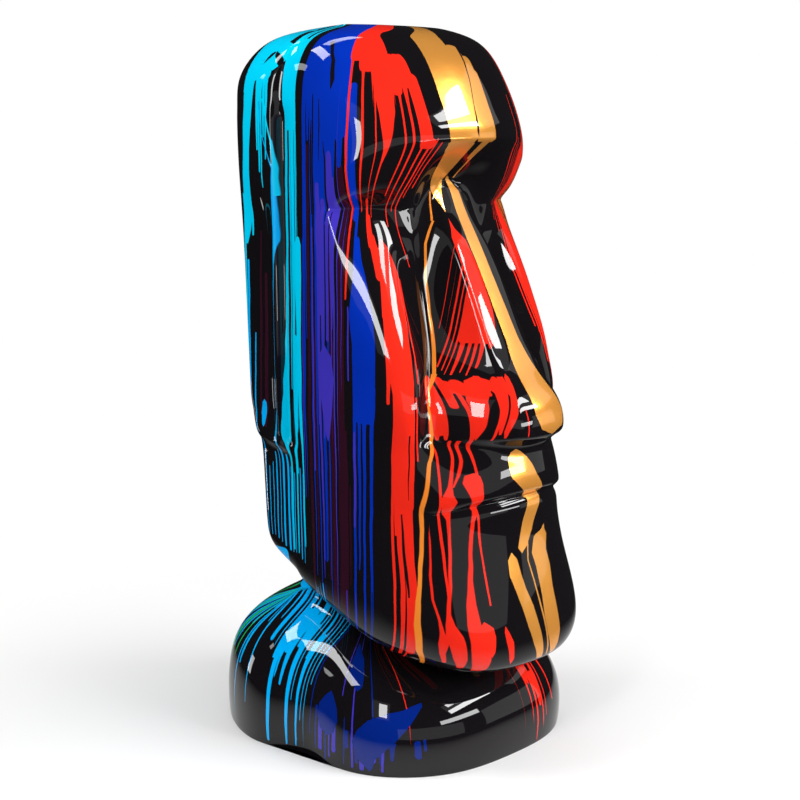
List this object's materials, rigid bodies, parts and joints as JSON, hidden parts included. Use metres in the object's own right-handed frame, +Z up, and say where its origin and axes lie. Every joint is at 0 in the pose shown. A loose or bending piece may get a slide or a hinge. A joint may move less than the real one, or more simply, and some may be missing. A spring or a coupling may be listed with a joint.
{
  "type": "moai statue",
  "caption": "Decorative moai head on a rounded shoulder base, moulded in one hollow piece of resin with a gloss black lacquer and poured bands of colour.",
  "frame": {"origin": "on the flat underside that the statue rests on, below the middle of the head", "axes": "+Z up, -Y towards the front that the face looks to, +X towards the statue's own left hand side"},
  "size_m": [0.5412, 0.6212, 1.2005],
  "materials": {
    "black_lacquer": "gloss black lacquer with poured bands of cyan, blue, red and gold paint"
  },
  "bodies": {
    "root": {"moai_statue": "black_lacquer"}
  },
  "joints": []
}
